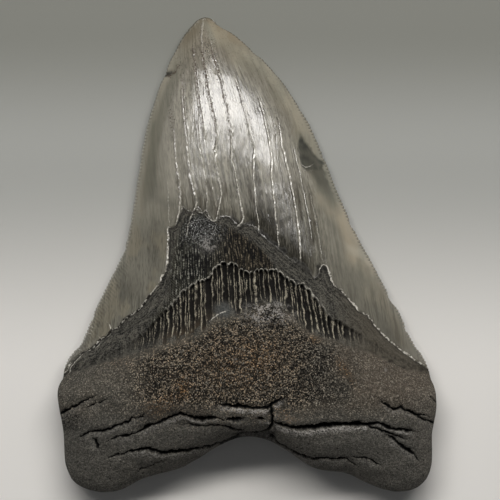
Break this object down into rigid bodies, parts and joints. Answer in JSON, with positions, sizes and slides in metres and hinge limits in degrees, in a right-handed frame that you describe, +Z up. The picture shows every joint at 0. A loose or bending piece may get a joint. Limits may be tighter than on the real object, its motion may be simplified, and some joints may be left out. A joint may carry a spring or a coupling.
{
  "type": "megalodon tooth",
  "caption": "Fossil megalodon tooth, complete: broad serrated blade, chevron neck and two-lobed root, lying on its flat face.",
  "frame": {"origin": "on the resting plane, under the middle of the tooth's outline", "axes": "+Z up from the flat outer face to the bulging inner face, +Y from the root to the tip, X across the root lobes"},
  "size_m": [0.0794, 0.0996, 0.0192],
  "materials": {
    "fossil_tooth": "glossy grey enamel on the blade, semi-matte near-black neck, matte dark brown-grey root"
  },
  "bodies": {
    "root": {"tooth": "fossil_tooth"}
  },
  "joints": []
}
